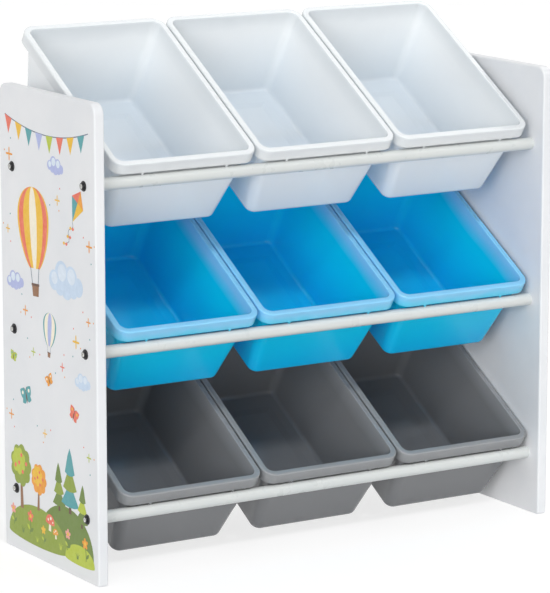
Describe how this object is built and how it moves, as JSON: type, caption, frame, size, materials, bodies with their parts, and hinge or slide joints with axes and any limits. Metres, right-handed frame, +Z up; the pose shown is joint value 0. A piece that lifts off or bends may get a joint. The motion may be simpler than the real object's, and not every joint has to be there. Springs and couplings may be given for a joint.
{
  "type": "toy storage organizer with bins",
  "caption": "Open toy rack: two upright side boards joined by tiers of level tubes, with open plastic bins lying tilted forward on each tier.",
  "frame": {"origin": "on the floor, below the centre of the whole object's bounding box", "axes": "+X to the right along the tubes as seen from the front, +Y towards the back, +Z up"},
  "size_m": [0.6896, 0.2933, 0.6659],
  "materials": {
    "board_lacquer": "white satin lacquer on fibreboard",
    "tube_coating": "white powder coat on steel tube",
    "plug_plastic": "black nylon",
    "bolt_steel": "zinc-plated steel",
    "washer_plastic": "black nylon",
    "bin_white": "semi-gloss moulded polypropylene",
    "bin_blue": "semi-gloss moulded polypropylene",
    "bin_grey": "semi-gloss moulded polypropylene"
  },
  "bodies": {
    "rack": {"left_board": "board_lacquer", "right_board": "board_lacquer", "front_tube_bottom": "tube_coating", "back_tube_bottom": "tube_coating", "front_tube_middle": "tube_coating", "back_tube_middle": "tube_coating", "front_tube_top": "tube_coating", "back_tube_top": "tube_coating", "left_tube_plugs": "plug_plastic", "left_bolts": "bolt_steel", "left_washers": "washer_plastic", "right_tube_plugs": "plug_plastic", "right_bolts": "bolt_steel", "right_washers": "washer_plastic"},
    "bin_bottom_left": {"bin_bottom_left": "bin_grey"},
    "bin_bottom_centre": {"bin_bottom_centre": "bin_grey"},
    "bin_bottom_right": {"bin_bottom_right": "bin_grey"},
    "bin_middle_left": {"bin_middle_left": "bin_blue"},
    "bin_middle_centre": {"bin_middle_centre": "bin_blue"},
    "bin_middle_right": {"bin_middle_right": "bin_blue"},
    "bin_top_left": {"bin_top_left": "bin_white"},
    "bin_top_centre": {"bin_top_centre": "bin_white"},
    "bin_top_right": {"bin_top_right": "bin_white"}
  },
  "joints": [
    {"name": "lift_bottom_left", "type": "slide", "parent": "rack", "child": "bin_bottom_left", "axis": [0, -0.5147, 0.8573], "range_m": [0, 0.04]},
    {"name": "lift_bottom_centre", "type": "slide", "parent": "rack", "child": "bin_bottom_centre", "axis": [0, -0.5147, 0.8573], "range_m": [0, 0.04]},
    {"name": "lift_bottom_right", "type": "slide", "parent": "rack", "child": "bin_bottom_right", "axis": [0, -0.5147, 0.8573], "range_m": [0, 0.04]},
    {"name": "lift_middle_left", "type": "slide", "parent": "rack", "child": "bin_middle_left", "axis": [0, -0.5147, 0.8573], "range_m": [0, 0.04]},
    {"name": "lift_middle_centre", "type": "slide", "parent": "rack", "child": "bin_middle_centre", "axis": [0, -0.5147, 0.8573], "range_m": [0, 0.04]},
    {"name": "lift_middle_right", "type": "slide", "parent": "rack", "child": "bin_middle_right", "axis": [0, -0.5147, 0.8573], "range_m": [0, 0.04]},
    {"name": "lift_top_left", "type": "slide", "parent": "rack", "child": "bin_top_left", "axis": [0, -0.5147, 0.8573], "range_m": [0, 0.15]},
    {"name": "lift_top_centre", "type": "slide", "parent": "rack", "child": "bin_top_centre", "axis": [0, -0.5147, 0.8573], "range_m": [0, 0.15]},
    {"name": "lift_top_right", "type": "slide", "parent": "rack", "child": "bin_top_right", "axis": [0, -0.5147, 0.8573], "range_m": [0, 0.15]}
  ]
}
